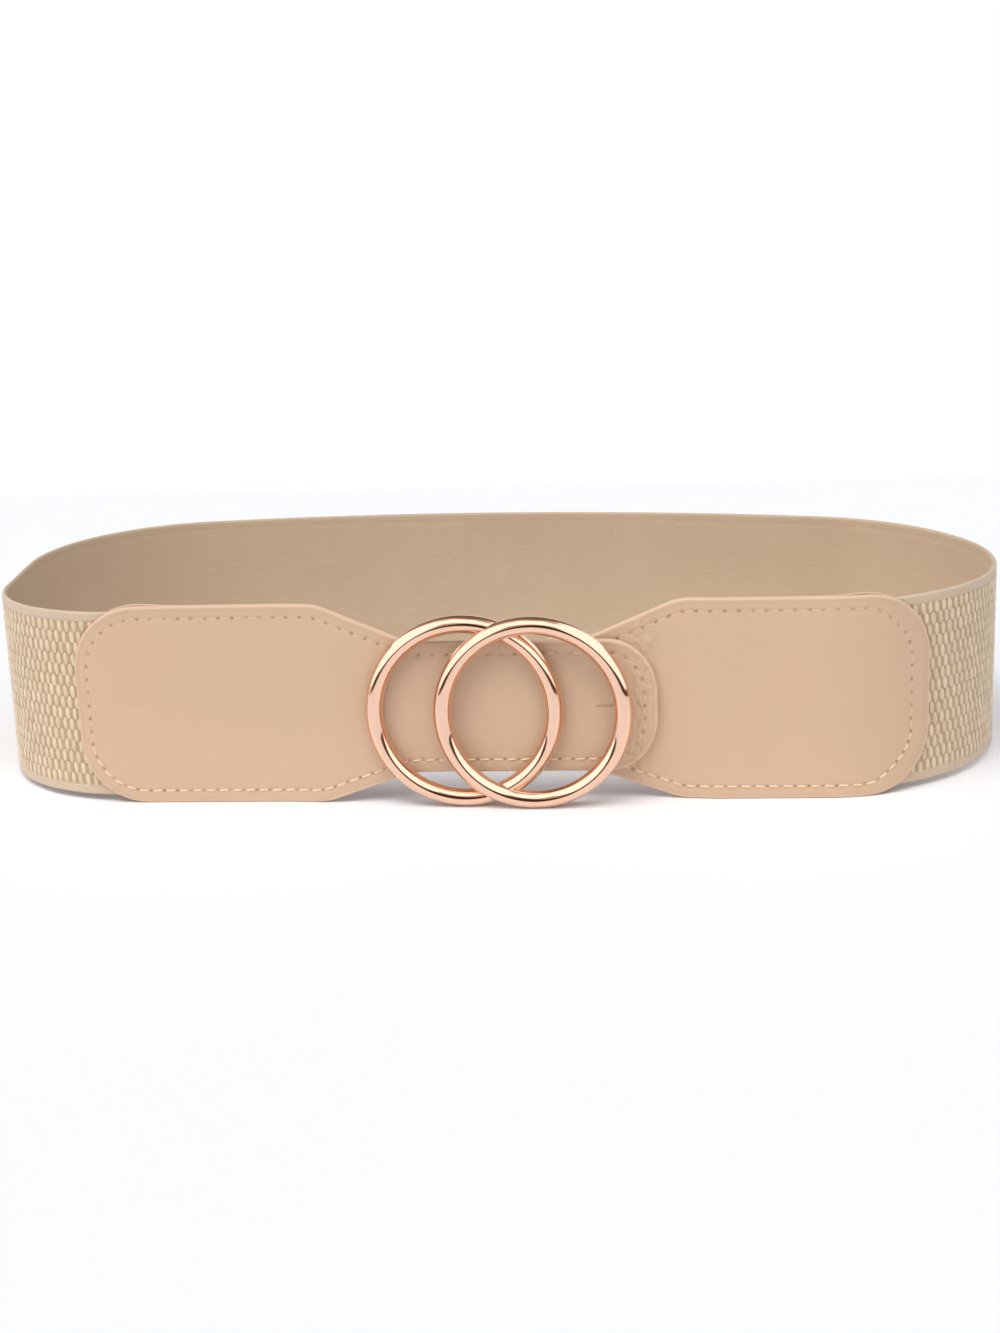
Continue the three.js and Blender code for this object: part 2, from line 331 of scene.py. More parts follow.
class Value:
    """What one socket gives out. Arithmetic on it adds Math nodes."""

    def __init__(self, shader, socket):
        self.shader = shader
        self.socket = socket

    def math(self, operation, *values):
        return self.shader.node("Math", {"operation": operation}, dict(enumerate(values)))

    def __add__(self, other):
        return self.math("ADD", self, other)

    def __sub__(self, other):
        return self.math("SUBTRACT", self, other)

    def __rsub__(self, other):
        return self.math("SUBTRACT", other, self)

    def __mul__(self, other):
        return self.math("MULTIPLY", self, other)

    def __truediv__(self, other):
        return self.math("DIVIDE", self, other)

    def __pow__(self, other):
        return self.math("POWER", self, other)

    __radd__ = __add__
    __rmul__ = __mul__

    def higher(self, other):
        return self.math("MAXIMUM", self, other)

    def abs(self):
        return self.math("ABSOLUTE", self)

    def fraction(self):
        return self.math("FRACT", self)

    def sine(self):
        return self.math("SINE", self)

    def hill(self, middle, width):
        """A bell curve 1 high."""
        share = (self - middle) / width
        return self.math("EXPONENT", share * share * -1.0)

    def step(self, low, high):
        """0 up to low, 1 from high on, smooth between; high may be below low."""
        sockets = {0: self, 1: low, 2: high, 3: 0.0, 4: 1.0}
        return self.shader.node("MapRange", {"interpolation_type": "SMOOTHSTEP"}, sockets)


class Shader:
    """The nodes of one material or world."""

    def __init__(self, owner):
        owner.use_nodes = True
        self.tree = owner.node_tree
        self.owner = owner

    def put(self, socket, value):
        if isinstance(value, Value):
            self.tree.links.new(value.socket, socket)
        else:
            socket.default_value = value

    def node(self, kind, settings=None, sockets=None, output=0):
        """Adds a node, sets what it is, then its sockets by name or number, and gives one output."""
        node = self.tree.nodes.new("ShaderNode" + kind)
        for name, value in (settings or {}).items():
            setattr(node, name, value)
        for name, value in (sockets or {}).items():
            self.put(node.inputs[name], value)
        return Value(self, node.outputs[output])

    def mix(self, a, b, share):
        """The colour a where share is 0 and b where it is 1."""
        return self.node("Mix", {"data_type": "RGBA"}, {0: share, 6: a, 7: b}, output=2)

    def object_point(self):
        return self.node("TexCoord", output="Object")

    def stretched(self, point, scale):
        return self.node("Mapping", None, {"Vector": point, "Scale": scale})

    def noise(self, point, scale, detail=2.0, roughness=0.5):
        sockets = {"Vector": point, "Scale": scale, "Detail": detail, "Roughness": roughness}
        return self.node("TexNoise", None, sockets)

    def bump(self, height, distance, strength=1.0, normal=None):
        sockets = {"Height": height, "Distance": distance, "Strength": strength}
        if normal:
            sockets["Normal"] = normal
        return self.node("Bump", None, sockets)

    def parts(self, vector):
        """The three parts of a vector."""
        separate = self.node("SeparateXYZ", None, {0: vector}).socket.node
        return [Value(self, output) for output in separate.outputs]

    def surface_uv(self):
        """The two values of the piece's own UV map."""
        return self.parts(self.node("UVMap", {"uv_map": "surface"}))[:2]

    def finish(self, **sockets):
        """Sets the sockets of the Principled shader and gives the material."""
        shader = self.tree.nodes["Principled BSDF"]
        for name, value in sockets.items():
            self.put(shader.inputs[name.replace("_", " ")], value)
        return self.owner


def colour(red, green, blue):
    """The linear colour of a screen colour with 0 to 255 for each channel."""
    shares = [c / 255 for c in (red, green, blue)]
    return tuple(((c + 0.055) / 1.055) ** 2.4 if c > 0.04045 else c / 12.92 for c in shares) + (1.0,)


def webbing_outside():
    """The ground between the floats, with a fine ribbed weave. It is darker and browner than they are:
    partly the base weave's own tone, partly painted shade in the valleys between the floats.
    """
    s = Shader(bpy.data.materials.new("webbing_ground"))
    place, height = s.surface_uv()
    fleck = s.noise(s.object_point(), 900.0)
    edge = (height - WEB_WIDTH / 2 / MM).abs().step(WEB_WIDTH / 2 / MM - 3.4, WEB_WIDTH / 2 / MM - 2.8)
    # darker ground: partly the base weave's own tone, partly painted shade between the floats
    ground = s.mix(colour(182, 152, 116), colour(202, 174, 138), fleck)
    ribs = (height * 9.0).sine() * 0.5 + (place * 5.2).sine() * 0.5
    return s.finish(
        Base_Color=s.mix(ground, colour(210, 188, 162), edge),
        Roughness=0.85,
        Sheen_Weight=0.2,
        Sheen_Roughness=0.5,
        Sheen_Tint=(0.8, 0.84, 1.0, 1.0),
        Normal=s.bump(ribs + fleck, 0.06 * MM),
    )


def webbing_inside():
    """The smooth back of the webbing: fine ribs along it, faint dashes and flecks."""
    s = Shader(bpy.data.materials.new("webbing_back"))
    place, height = s.surface_uv()
    point = s.object_point()
    cloud = s.noise(point, 30.0)
    streak = s.noise(s.node("CombineXYZ", None, {0: place * 0.12, 1: height * 2.6}), 1.0, 3.0)
    fleck = s.noise(point, 900.0, 1.0).step(0.68, 0.78)
    tint = s.mix(colour(202, 178, 150), colour(193, 168, 139), cloud)
    tint = s.mix(tint, colour(212, 188, 161), streak.step(0.52, 0.7) * 0.5)
    ribs = (height * (2 * math.pi / 1.2)).sine() * 0.15 + streak
    return s.finish(
        Base_Color=s.mix(tint, colour(222, 202, 178), fleck * 0.4),
        Roughness=0.8,
        Normal=s.bump(ribs, 0.04 * MM),
    )


def float_yarn():
    """Cream yarn whose fibres run along each float, a little lighter or darker from float to float, with
    painted shade towards each float's ends.
    """
    s = Shader(bpy.data.materials.new("float_yarn"))
    around, lengthwise = s.surface_uv()
    shade = s.node("Attribute", {"attribute_name": "shade"}, output="Fac")
    fibre_point = s.node("CombineXYZ", None, {0: around * 14.0, 1: lengthwise * 1.5, 2: shade * 30.0})
    fibres = s.noise(fibre_point, 1.0)
    tone = s.mix(colour(216, 193, 159), colour(230, 210, 177), shade)
    # painted shade: each float darker towards its ends, where it dips into the ground
    ends = (lengthwise - 0.5).abs().step(0.28, 0.5)
    return s.finish(
        Base_Color=s.mix(tone, colour(196, 170, 138), ends * 0.35 + fibres.step(0.45, 0.3) * 0.25),
        Roughness=0.78,
        Sheen_Weight=0.6,
        Sheen_Roughness=0.5,
        Sheen_Tint=(0.8, 0.84, 1.0, 1.0),
        Normal=s.bump(fibres, 0.05 * MM),
    )


def leather():
    """Smooth beige leather with a fine grain. Painted on it: a shadow line just inside the turned edge, a
    highlight along the rim, and shade along the seam's groove and in the dark needle holes. It is crumpled
    round the tongue's tip."""
    s = Shader(bpy.data.materials.new("beige_leather"))
    stitch, inset = s.surface_uv()
    point = s.object_point()
    cloud = s.noise(point, 22.0, 3.0)
    grain = s.noise(point, 1500.0, 3.0, 0.6)
    crease = s.noise(s.stretched(point, (1.0, 1.0, 2.2)), 260.0, 2.0)
    near_tip = s.parts(point)[0].hill(CRUMPLE_MIDDLE, CRUMPLE_WIDTH)
    crumple = s.noise(s.stretched(point, (1.0, 1.0, 0.6)), 520.0, 1.5) * near_tip
    uneven = s.noise(point, 420.0, 1.0)
    along_line = ((stitch + 0.5).fraction() - 0.5) * (STITCH_PITCH / MM) + (uneven - 0.5) * 1.6
    across_line = inset - STITCH_INSET / MM
    from_hole = (along_line * along_line + across_line * across_line * 1.4) ** 0.5
    uneven_hole_shade = s.noise(point, 160.0, 1.0).step(0.38, 0.58)
    # painted shade: the needle holes are darkened, some more than others
    hole = from_hole.step(0.85, 0.25) * (0.22 + uneven_hole_shade * 0.3)
    groove = across_line.abs().step(1.1, 0.1)
    rim = inset.step(0.9, 0.4)
    turned = inset.hill(1.4, 0.35)
    tint = s.mix(colour(213, 180, 152), colour(210, 179, 148), cloud.step(0.35, 0.65))
    # painted shade along the seam's groove
    tint = s.mix(tint, colour(206, 170, 140), groove * 0.15)
    # painted shadow: a darker line just inside the turned edge
    tint = s.mix(tint, colour(196, 160, 132), turned * 0.25)
    # painted highlight: a paler rim along the edge, where it catches the light
    tint = s.mix(tint, colour(236, 203, 177), rim * 0.4)
    return s.finish(
        Base_Color=s.mix(tint, colour(120, 86, 62), hole),
        Roughness=0.46 + grain * 0.16,
        Normal=s.bump(crumple, 1.4 * MM, 0.8, s.bump(crease, 0.05 * MM, 0.5, s.bump(grain, 0.03 * MM))),
    )


def thread():
    """Cream sewing thread with its twist. Along the lower seams it is paler and its twist shows more:
    painted light, as if those threads were lit from above.
    """
    s = Shader(bpy.data.materials.new("cream_thread"))
    around, lengthwise = s.surface_uv()
    twist = ((around + lengthwise * 3.0) * (4 * math.pi)).sine() * 0.5 + 0.5
    # painted light: the lower seams' thread is paler, by height, as if lit from above
    low = s.parts(s.object_point())[2].step(26 * MM, 12 * MM)
    tint = s.mix(colour(222, 190, 160), colour(240, 214, 178), low)
    return s.finish(
        Base_Color=s.mix(tint, colour(246, 224, 192), twist * (low * 0.5 + 0.2)),
        Roughness=0.6,
        Normal=s.bump(twist, 0.06 * MM),
    )


def rose_gold():
    """Polished and lacquered rose gold plating with the faintest unevenness."""
    s = Shader(bpy.data.materials.new("rose_gold"))
    point = s.object_point()
    wander = s.noise(point, 60.0, 1.0)
    return s.finish(
        Base_Color=s.mix(colour(239, 196, 168), colour(241, 200, 172), wander),
        Metallic=1.0,
        Roughness=0.06 + wander * 0.05,
        Coat_Weight=1.0,
        Coat_IOR=1.7,
        Normal=s.bump(s.noise(point, 90.0, 1.0), 0.02 * MM),
    )


def nickel():
    """Satin nickel with fine turning marks."""
    s = Shader(bpy.data.materials.new("satin_nickel"))
    around, lengthwise = s.surface_uv()
    marks = (lengthwise * 260.0).sine() * 0.5 + 0.5
    fleck = s.noise(s.object_point(), 1200.0)
    return s.finish(
        Base_Color=s.mix(colour(196, 192, 184), colour(214, 210, 202), fleck),
        Metallic=1.0,
        Roughness=0.25 + marks * 0.1,
        Normal=s.bump(marks, 0.01 * MM),
    )


def floor_white():
    """A plain pale floor with a trace of cloudiness."""
    s = Shader(bpy.data.materials.new("studio_floor"))
    cloud = s.noise(s.object_point(), 3.0)
    return s.finish(Base_Color=s.mix(colour(246, 246, 247), colour(248, 248, 249), cloud), Roughness=0.9)


# The webbing


def web_low(place):
    """The height of the webbing's lower edge: level with the floor, but raised between the leather ends'
    layers and coming down past them."""
    past = np.minimum(place - OUTER_END, LOOP_LENGTH - OUTER_END - place)
    return EDGE_STEP * (1 - soft_ramp(past / SETTLE_LENGTH))


def webbing():
    """A flat strap carried along the belt. Its section runs up the outer face, which is sunk between the
    two selvages, round the upper selvage, down the inner face and round the lower selvage."""
    first = OUTER_END - POCKET_DEPTH + CLEARANCE
    place = np.linspace(first, LOOP_LENGTH - first, round((LOOP_LENGTH - 2 * first) / WEB_STEP))
    share = 0.5 - 0.5 * np.cos(np.linspace(0, math.pi, 61))
    face = SELVAGE_ROUND + (WEB_WIDTH - 2 * SELVAGE_ROUND) * share
    inner = WEB_THICKNESS - WEB_SKIN
    from_edge = np.minimum(face, WEB_WIDTH - face)
    past_selvage = smooth(SELVAGE - 0.3 * MM, SELVAGE + 0.3 * MM, from_edge)
    sunk = -WEB_SKIN - (GROUND_DEPTH - WEB_SKIN) * past_selvage
    turn = np.linspace(0, math.pi, 9)[1:-1]
    middle = -(inner + WEB_SKIN) / 2
    upper = WEB_WIDTH - SELVAGE_ROUND + SELVAGE_ROUND * np.sin(turn)
    across = np.concatenate((face, upper, face[::-1], WEB_WIDTH - upper))
    round_out = middle + SELVAGE_ROUND * np.cos(turn)
    inside = -inner + 0.12 * MM * hill(from_edge, SELVAGE, 0.5 * MM)
    out = np.concatenate((sunk, round_out, inside, round_out[::-1]))
    points = belt_point(place[:, None], out, web_low(place)[:, None] + across)
    centre = belt_point(place[[0, -1], None], middle, web_low(place)[[0, -1], None] + WEB_WIDTH / 2)
    caps = np.broadcast_to(centre, (2, across.size, 3))
    points = np.concatenate((caps[:1], points, caps[1:]))
    rows = np.concatenate((place[:1], place, place[-1:])) / MM
    heights = np.append(across, across[0]) / MM
    uv = np.stack(np.broadcast_arrays(rows[:, None], heights), axis=-1)
    shell = outward(surface(points, closed_columns=True, uv=uv))
    is_inside = np.arange(across.size) >= face.size + turn.size // 2
    is_inside &= np.arange(across.size) < 2 * face.size + turn.size + turn.size // 2
    return shell, np.tile(is_inside, len(points) - 1)


def floats():
    """Short grains of yarn in rows, each row set over by half a pitch. Along a grain t goes from -1 to 1
    and both its width and its height follow a power of 1 - t^2, and it leans a little."""
    first = OUTER_END - POCKET_DEPTH + 1 * MM
    span = LOOP_LENGTH - 2 * first
    columns = round(span / FLOAT_PITCH)
    row, column = (a.ravel() for a in np.indices((FLOAT_ROWS, columns)))
    place = first + (column + 0.25 + 0.5 * (row % 2)) * span / columns
    pitch = (WEB_WIDTH - 2 * SELVAGE) / FLOAT_ROWS
    count = place.size
    place = place + rng.normal(0, FLOAT_STRAY_ALONG, count)
    height = web_low(place) + SELVAGE + (row + 0.5) * pitch + rng.normal(0, FLOAT_STRAY_UP, count)
    wide = (1 + rng.normal(0, FLOAT_STRAY_WIDTH, count))[:, None, None] * FLOAT_WIDTH / 2
    t = np.array((-1, -0.8, -0.35, 0.35, 0.8, 1))[None, :, None]
    around = np.radians((0, 40, 90, 140, 180, 270))
    swell = 1 - t**2
    rise = t * FLOAT_LENGTH / 2
    aside = np.cos(around) * wide * swell**0.4 - math.tan(FLOAT_SLANT) * rise
    lift = np.sin(around) * (GROUND_DEPTH + 0.05 * MM) * swell**0.5 - GROUND_DEPTH
    points = belt_point(place[:, None, None] + aside, lift, height[:, None, None] + rise)
    turns, lengths = np.linspace(0, 1, around.size + 1), (t[0, :, 0] + 1) / 2
    uv = np.stack(np.broadcast_arrays(turns[None, :], lengths[:, None]), axis=-1)
    shade = np.repeat(rng.uniform(0, 1, count), around.size * t.size)
    return copies(points, closed_columns=True, uv=uv), shade


# The leather ends


class LeatherEnd:
    """One leather end. Its outline is worked out outward along the belt and up or down from its own middle
    line, with eight samples for each stitch, so that a needle hole falls on every eighth. Near the outer
    end the seam turns in by up to end_inset more, and extra is how much that is at each sample."""

    def __init__(self, side, reach, lap, round_length, flat, end_inset):
        self.side, self.reach, self.lap = side, reach, lap
        self.round_length, self.flat = round_length, flat
        across, up = self.half_outline()
        travel = np.concatenate(([0], np.cumsum(np.hypot(np.diff(across), np.diff(up)))))
        slope_a, slope_u = np.gradient(across, travel), np.gradient(up, travel)
        length = np.hypot(slope_a, slope_u)
        normal_a, normal_u = slope_u / length, -slope_a / length
        line_a, line_u = across + STITCH_INSET * normal_a, up + STITCH_INSET * normal_u
        sewn = np.concatenate(([0], np.cumsum(np.hypot(np.diff(line_a), np.diff(line_u)))))
        self.stitches = 2 * round(sewn[-1] / STITCH_PITCH)
        samples = self.stitches * SAMPLES_PER_STITCH // 2
        even = np.linspace(0, sewn[-1], samples + 1)
        half = [np.interp(even, sewn, v) for v in (across, up, normal_a, normal_u)]
        mirror = (1, -1, 1, -1)
        self.rim = np.array([np.concatenate((v, m * v[-2:0:-1])) for v, m in zip(half, mirror)])
        self.samples = 2 * samples
        self.extra = end_inset * smooth(OUTER_END - 22 * MM, OUTER_END - 6 * MM, self.rim[0])

    def half_outline(self):
        """From the inner tip over the top to the outer end: a quarter ellipse, the neck, the taper, the
        patch and a quarter circle."""
        quarter = np.linspace(0, math.pi / 2, 240)
        begin = self.reach + self.round_length
        end = OUTER_END - PATCH_CORNER
        straight = np.linspace(begin, end, 1200)
        tip = self.half_height(begin)
        top = PATCH_HEIGHT / 2
        flat = top - PATCH_CORNER
        across = (
            [self.reach],
            self.reach + self.round_length * (1 - np.cos(quarter)),
            straight[1:],
            end + PATCH_CORNER * np.sin(quarter[1:]),
            [OUTER_END],
        )
        up = (
            [0],
            self.flat / 2 + (tip - self.flat / 2) * np.sin(quarter),
            self.half_height(straight[1:]),
            flat + PATCH_CORNER * np.cos(quarter[1:]),
            [0],
        )
        return np.concatenate(across), np.concatenate(up)

    def taper(self, across):
        return soft_ramp((across - NECK_LENGTH / 2) / TAPER_LENGTH)

    def half_height(self, across):
        return (NECK_HEIGHT + (PATCH_HEIGHT - NECK_HEIGHT) * self.taper(across)) / 2

    def front(self, across):
        """How far out the outer face lies: the tongue stands out and the other neck lies in."""
        in_line = soft_ramp((across - TONGUE_REACH - CLEARANCE) / LAP_BLEND)
        return PATCH_FRONT + self.lap * (1 - in_line)

    def thickness(self, across):
        """Both layers, and the webbing between them past the start of the pocket."""
        opened = soft_ramp((across - (OUTER_END - POCKET_DEPTH - POCKET_BLEND)) / POCKET_BLEND)
        return 2 * LEATHER + opened * (WEB_THICKNESS + 2 * CLEARANCE)

    def place(self, across, up, lift, layer):
        """Points on a layer, whose lift is counted from its hidden face. Layer 1 is the outer one and -1 the
        inner one."""
        front = self.front(across)
        outer = front - LEATHER + lift
        inner = front - self.thickness(across) + LEATHER - lift
        middle = NECK_MIDDLE + (PATCH_HEIGHT / 2 - NECK_MIDDLE) * self.taper(across)
        return belt_point(self.side * across, outer if layer == 1 else inner, middle + up)

    def lift(self, inset, phase):
        """The profile of a layer in from its edge: full thickness, a barely raised rim, a sewn groove with a
        dimple at each needle hole and a faint swell inside."""
        rim = RIM_RISE * hill(inset, 1.4 * MM, 0.8 * MM)
        groove = GROOVE_DEPTH * hill(inset, STITCH_INSET, 0.8 * MM)
        from_hole = (phase + 0.5) % 1 - 0.5
        reach = np.hypot(from_hole * STITCH_PITCH, inset - STITCH_INSET)
        dimple = DIMPLE_DEPTH * hill(reach, 0, HOLE)
        pucker = PUCKER * np.cos(2 * math.pi * phase) * hill(inset, STITCH_INSET, 1.6 * MM)
        swell = SWELL * smooth(5 * MM, 12 * MM, inset)
        return LEATHER + rim - groove - dimple - pucker + swell

    def layer(self, layer, slits=()):
        """One layer as rings round the outline: from the middle of its hidden face out to the edge, round
        it, and back in over the face that shows to the same middle line."""
        phase = np.arange(self.samples) / SAMPLES_PER_STITCH
        rise = np.linspace(0, math.pi / 2, 6)
        insets = (0.9, 1.3, 1.7, 2.15, 2.5, 2.9, 3.25, 3.5, 3.75, 4, 4.25, 4.5, 4.8, 5.2, 5.7)
        insets = np.array(insets) * MM
        shares = np.array((0.08, 0.17, 0.28, 0.4, 0.52, 0.64, 0.75, 0.85, 0.92, 0.955, 0.975, 0.99, 1))
        across, up, normal_a, normal_u = self.rim
        last = insets[-1]
        base_a, base_u = across + (last + self.extra) * normal_a, up + (last + self.extra) * normal_u
        axis = np.clip(base_a, self.reach + NECK_HEIGHT / 4, OUTER_END - PATCH_CORNER)
        rings = []

        def ring(inset, lift):
            moved = inset + self.extra * smooth(1 * MM, 3 * MM, inset)
            a, u = across + moved * normal_a, up + moved * normal_u
            rings.append((a, u, lift + 0 * across, inset + 0 * across))

        def inner_ring(share, lift):
            a, u = base_a + (axis - base_a) * share, base_u * (1 - share)
            inset = last + share * np.abs(base_u)
            rings.append((a, u, lift(inset), inset + 0 * across))

        for share in (1, 0.8, 0.6, 0.4, 0.2):
            inner_ring(share, lambda inset: 0 * inset)
        ring(last, 0)
        ring(2 * MM, 0)
        for angle in rise[:-1]:
            ring(EDGE_ROUND_BACK * (1 - np.sin(angle)), EDGE_HEIGHT * (1 - np.cos(angle)))
        shoulder = self.lift(EDGE_ROUND_FRONT, phase) - EDGE_HEIGHT
        for angle in rise:
            ring(EDGE_ROUND_FRONT * (1 - np.cos(angle)), EDGE_HEIGHT + shoulder * np.sin(angle))
        for inset in insets:
            ring(inset, self.lift(inset, phase))
        for share in shares:
            inner_ring(share, lambda inset: self.lift(inset, phase))
        a, u, lift, inset = (np.array(v) for v in zip(*rings))
        for start, end in slits:
            in_slit = smooth(start - SLIT_EASE, start, a) * smooth(end + SLIT_EASE, end, a)
            shown = (np.arange(len(rings)) > len(rings) - 8)[:, None]
            lift = lift - shown * in_slit * SLIT_DEPTH * smooth(SLIT_HEIGHT, SLIT_HEIGHT / 3, np.abs(u))
            lift = lift + shown * in_slit * SLIT_LIP * hill(np.abs(u), 0.9 * MM, 0.5 * MM)
        points = self.place(a, u, lift, layer)
        stitch = np.append(phase, self.stitches)
        depth = np.concatenate((inset, inset[:, :1]), axis=1) / MM
        uv = np.stack((stitch + 0 * depth, depth), axis=-1)
        return outward(surface(points, closed_columns=True, uv=uv))

    def sewing(self, layer):
        """A thread from each needle hole to the next: a tube of six sides on an arch that starts and ends
        below the surface and bulges out between, most along the lower seams away from the inner tips."""
        t = np.array((0, 0.08, 0.2, 0.5, 0.8, 0.92, 1))[None, :, None]
        around = np.radians(np.arange(0, 360, 60))
        thick = np.array((0, 0.75, 1, 1.08, 1, 0.75, 0))[None, :, None] * THREAD / 2
        first = np.arange(self.stitches)[:, None, None]
        sample = (first + 0.13 + 0.74 * t) * SAMPLES_PER_STITCH
        index = np.arange(self.samples + 1)
        lines = [np.append(v, v[0]) for v in (*self.rim, self.extra)]
        across, up, normal_a, normal_u, extra = (np.interp(sample, index, v) for v in lines)
        inset = STITCH_INSET + extra + thick * np.cos(around) + 0.1 * MM * (2 * t - 1)
        tight = np.maximum(smooth(-20 * MM, -12 * MM, up), 1 - smooth(4 * MM, 12 * MM, across - self.reach))
        bulge = THREAD_BULGE - THREAD_PULL * tight
        arch = LEATHER - THREAD_START + bulge * (1 - (2 * t - 1) ** 4)
        lift = arch + thick * np.sin(around)
        points = self.place(across + inset * normal_a, up + inset * normal_u, lift, layer)
        turns, lengths = np.linspace(0, 1, around.size + 1), t[0, :, 0]
        uv = np.stack(np.broadcast_arrays(turns[None, :], lengths[:, None]), axis=-1)
        return copies(points, closed_columns=True, uv=uv)


# The buckle and the snap


def torus(middle, axis_out):
    """A ring in the plane of the belt's front: the wire's section carried round a circle. Across it is the
    cosine and out it is the sine of an angle, both over the root of |cos|^p + |sin|^p, where p is
    WIRE_RIDGE in front and 2 behind."""
    turn = np.linspace(0, 2 * math.pi, RING_STEPS, endpoint=False)[:, None]
    tube = np.linspace(0, 2 * math.pi, WIRE_STEPS, endpoint=False)
    power = np.where(np.sin(tube) > 0, WIRE_RIDGE, 2)
    wire = WIRE / 2 / (np.abs(np.cos(tube)) ** power + np.abs(np.sin(tube)) ** power) ** (1 / power)
    radius = (RING_DIAMETER - WIRE) / 2 + wire * np.cos(tube)
    place = middle[0] + radius * np.cos(turn)
    height = middle[1] + radius * np.sin(turn)
    points = belt_point(place, axis_out + wire * np.sin(tube), height)
    lengthwise, around = np.linspace(0, 1, RING_STEPS + 1)[:, None], np.linspace(0, 1, WIRE_STEPS + 1)
    uv = np.stack(np.broadcast_arrays(lengthwise, around), axis=-1)
    return outward(surface(points, closed_rows=True, closed_columns=True, uv=uv))


def lug(place, height, back, front):
    """A block with rounded edges: a ball whose sines and cosines are raised to a power of 0.25."""
    polar = np.linspace(0, math.pi, 17)[:, None]
    turn = np.linspace(0, 2 * math.pi, 32, endpoint=False)
    power = 0.25

    def squared(value):
        return np.sign(value) * np.abs(value) ** power

    length = LUG_LENGTH / 2 * squared(np.sin(polar)) * squared(np.cos(turn))
    thick = LUG_THICKNESS / 2 * squared(np.sin(polar)) * squared(np.sin(turn))
    out = (front + back) / 2 + (front - back) / 2 * squared(np.cos(polar)) + 0 * turn
    return outward(surface(belt_point(place + length, out, height + thick), closed_columns=True))


def double_ring():
    """Two crossed rings in one piece, each with a lug behind its outermost point."""
    shells = []
    for side, sag, step in ((-1, RING_SAG, 0), (1, RING_SAG + RING_DROP, RING_STEP)):
        out = TONGUE_FRONT + CLEARANCE + WIRE / 2 + step
        shells.append(torus((side * RING_SPACING / 2, NECK_MIDDLE - sag), out))
        shells.append(lug(side * LUG_PLACE, NECK_MIDDLE, TONGUE_FRONT - LUG_DEPTH, out))
    return joined(shells)


def snap():
    """A turned profile: a domed flange behind the neck, a post through it and a head in the tongue."""
    flange_front = NECK_BACK - CLEARANCE
    dome = np.linspace(0, math.pi / 2, 9)
    flange = SNAP_FLANGE / 2
    radius = np.concatenate(
        (
            (flange - SNAP_FLANGE_ROUND) * np.sin(dome),
            flange - SNAP_FLANGE_ROUND + SNAP_FLANGE_ROUND * np.sin(dome[1:]),
            (flange, SNAP_POST / 2, SNAP_POST / 2, SNAP_HEAD / 2, SNAP_HEAD / 2, 0),
        )
    )
    crown = flange_front - SNAP_FLANGE_THICKNESS
    out = np.concatenate(
        (
            crown - SNAP_FLANGE_DOME * np.cos(dome),
            crown + SNAP_FLANGE_ROUND * (1 - np.cos(dome[1:])),
            (flange_front, flange_front, TONGUE_BACK, TONGUE_BACK),
            (TONGUE_BACK + SNAP_HEAD_THICKNESS, TONGUE_BACK + SNAP_HEAD_THICKNESS),
        )
    )
    turn = np.linspace(0, 2 * math.pi, 64, endpoint=False)[:, None]
    points = belt_point(SNAP_PLACE + radius * np.cos(turn), out, NECK_MIDDLE + radius * np.sin(turn))
    uv = np.stack(np.broadcast_arrays(np.linspace(0, 1, 65)[:, None], radius / (SNAP_FLANGE / 2)), axis=-1)
    return outward(surface(points, closed_rows=True, uv=uv))


# The studio


def make_camera():
    """In front of the belt and a little above it, looking down and slightly to the left."""
    yaw, pitch, roll = (math.radians(a) for a in (-5.244, 16.198, -2.150))
    distance, right_shift, up_shift = 728.4 * MM, 0.76 * MM, 7.79 * MM
    aim = Vector((0.35 * MM, 4.39 * MM, 30 * MM))
    forward = Vector((math.sin(yaw) * math.cos(pitch), math.cos(yaw) * math.cos(pitch), -math.sin(pitch)))
    level = Vector((math.cos(yaw), -math.sin(yaw), 0))
    above = level.cross(forward)
    right = math.cos(roll) * level + math.sin(roll) * above
    up = math.cos(roll) * above - math.sin(roll) * level
    camera = bpy.data.objects.new("camera", bpy.data.cameras.new("camera"))
    camera.data.lens = 57.57
    camera.data.clip_start = 0.01
    camera.matrix_world = Matrix((right, up, -forward)).transposed().to_4x4()
    camera.location = aim - forward * distance - right * right_shift - up * up_shift
    bpy.context.scene.collection.objects.link(camera)
    bpy.context.scene.camera = camera


def make_floor():
    """A flat sheet just under the belt."""
    half_width = 420 * MM
    corners = np.array(((-1, -1), (1, -1), (-1, 1), (1, 1))) * half_width
    points = np.column_stack((corners, np.full(4, -0.02 * MM))).reshape(2, 2, 3)
    mesh = bpy.data.meshes.new("floor")
    mesh.from_pydata(points.reshape(-1, 3).tolist(), [], [(0, 1, 3, 2)])
    mesh.materials.append(floor_white())
    floor = bpy.data.objects.new("floor", mesh)
    bpy.context.scene.collection.objects.link(floor)


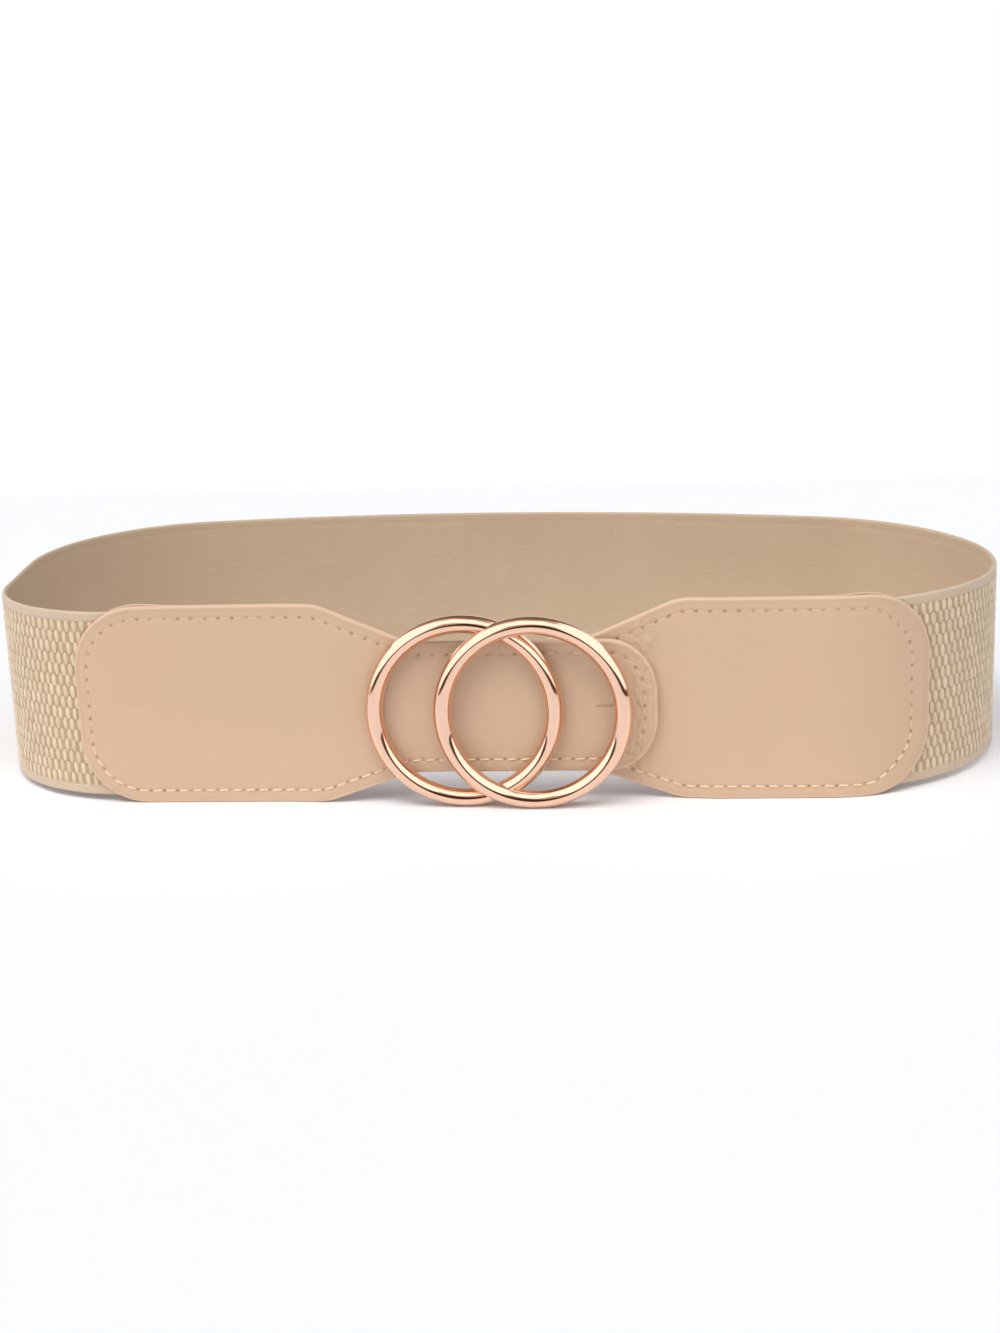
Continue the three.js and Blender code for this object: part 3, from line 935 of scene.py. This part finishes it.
def make_world():
    """A wall of light on each side, the left one stronger, and a light high in front. Shiny pieces see all
    three as bright as WALL_SHINE. A dark warm band parts them from the floor: it is thin at the sides and
    rises and widens in front, between the walls. Behind, a low strip is bright. The rest above the floor
    is dim, and bluish or, for shiny pieces, warm. The camera itself sees plain white."""
    s = Shader(bpy.data.worlds.new("studio"))
    bpy.context.scene.world = s.owner
    x, y, z = s.parts(s.node("TexCoord", output="Generated"))
    azimuth = x.math("ARCTAN2", x, y * -1.0) * (180 / math.pi)
    elevation = z.math("ARCSINE", z) * (180 / math.pi)
    shiny = s.node("LightPath", output="Is Glossy Ray")
    side = (azimuth + 4.0).abs().step(18.0, 28.0) * elevation.step(78.0, 66.0)
    side = side * (azimuth - elevation * 0.9).step(-158.0, -140.0)
    side = side * (azimuth + elevation * 0.5).step(172.0, 142.0)
    even = (1.3 - elevation.step(14.0, 46.0) * 0.6) * (1.0 - azimuth.abs().step(38.0, 78.0) * 0.6)
    soft = even * (1.15 + azimuth.step(30.0, -30.0) * 0.95)
    wall = side * s.node("Mix", None, {0: shiny, 2: soft, 3: WALL_SHINE})
    high = elevation.step(44.0, 54.0) * elevation.step(86.0, 76.0)
    front = (azimuth + 14.0).abs().step(88.0, 38.0) * high
    front = front * (FRONT_LIGHT - shiny * (FRONT_LIGHT - WALL_SHINE))
    behind = azimuth.abs().step(112.0, 140.0) * elevation.step(10.0, 18.0)
    dim = 0.55 - behind * 0.35
    low = azimuth.abs().step(112.0, 140.0) * elevation.step(18.0, 10.0) * (1.0 + shiny * 0.7)
    above = dim.higher(wall).higher(front).higher(low)
    near = azimuth.abs().step(80.0, 62.0)
    middle = azimuth.hill(5.0, 38.0) * 30.0 - 5.0 + near * 2.0
    half = azimuth.hill(-2.0, 22.0) * 9.0 + 4.5 + near * 4.0
    under = elevation.step(middle + half, middle - half)
    band = (elevation - middle).abs().step(half + 1.5, half - 1.5)
    band = band * azimuth.step(-104.0, -64.0) * azimuth.step(138.0, 122.0)
    strength = s.node("Mix", None, {0: under, 2: above, 3: 1.0}) * (1.0 - band * BAND_SHADE)
    gloom = s.mix((0.7, 0.8, 1.0, 1.0), (1.0, 0.78, 0.62, 1.0), shiny)
    tint = s.mix(gloom, (1.0, 1.0, 1.0, 1.0), wall.higher(front).higher(low).higher(under))
    tint = s.mix(tint, (1.0, 0.62, 0.42, 1.0), band)
    seen = s.node("LightPath", output="Is Camera Ray")
    background = s.tree.nodes["Background"]
    s.put(background.inputs["Color"], s.mix(tint, (1.0, 1.0, 1.0, 1.0), seen))
    s.put(background.inputs["Strength"], s.node("Mix", None, {0: seen, 2: strength, 3: 1.0}))


# Making it all

make_camera()

yarn, skin, sewing_thread = float_yarn(), leather(), thread()

web_shell, on_inside = webbing()
piece(
    "webbing_strap",
    web_shell,
    (webbing_outside(), webbing_inside()),
    replaces=("elastic_band",),
    face_material=on_inside,
)
float_shell, float_shade = floats()
piece("webbing_floats", float_shell, (yarn,), shade=float_shade)

neck_flat = NECK_HEIGHT - 2 * UNDERLAP_ROUND
tongue_end = LeatherEnd(-1, -TONGUE_REACH, LAP, TONGUE_ROUND, TONGUE_FLAT, 0)
neck_end = LeatherEnd(1, TONGUE_REACH - UNDERLAP, -LAP, UNDERLAP_ROUND, neck_flat, RIGHT_END_INSET)
slits = (
    (-LUG_PLACE + LUG_LENGTH / 2, -LUG_PLACE + LUG_LENGTH / 2 + SLIT_REACH),
    (LUG_PLACE - LUG_LENGTH / 2, LUG_PLACE + LUG_LENGTH / 2),
)
leather_shells = joined((tongue_end.layer(1, slits), tongue_end.layer(-1)))
piece("left_leather", leather_shells, (skin,), replaces=("left_patch",))
leather_shells = joined((neck_end.layer(1), neck_end.layer(-1)))
piece("right_leather", leather_shells, (skin,), replaces=("right_patch",))
for name, end in (("left_sewing", tongue_end), ("right_sewing", neck_end)):
    piece(name, joined((end.sewing(1), end.sewing(-1))), (sewing_thread,))

piece("crossed_rings", double_ring(), (rose_gold(),), replaces=("double_ring",))
piece("snap_fastener", snap(), (nickel(),), replaces=("hidden_snap",))

make_floor()
make_world()
bpy.context.scene.view_settings.view_transform = "Standard"
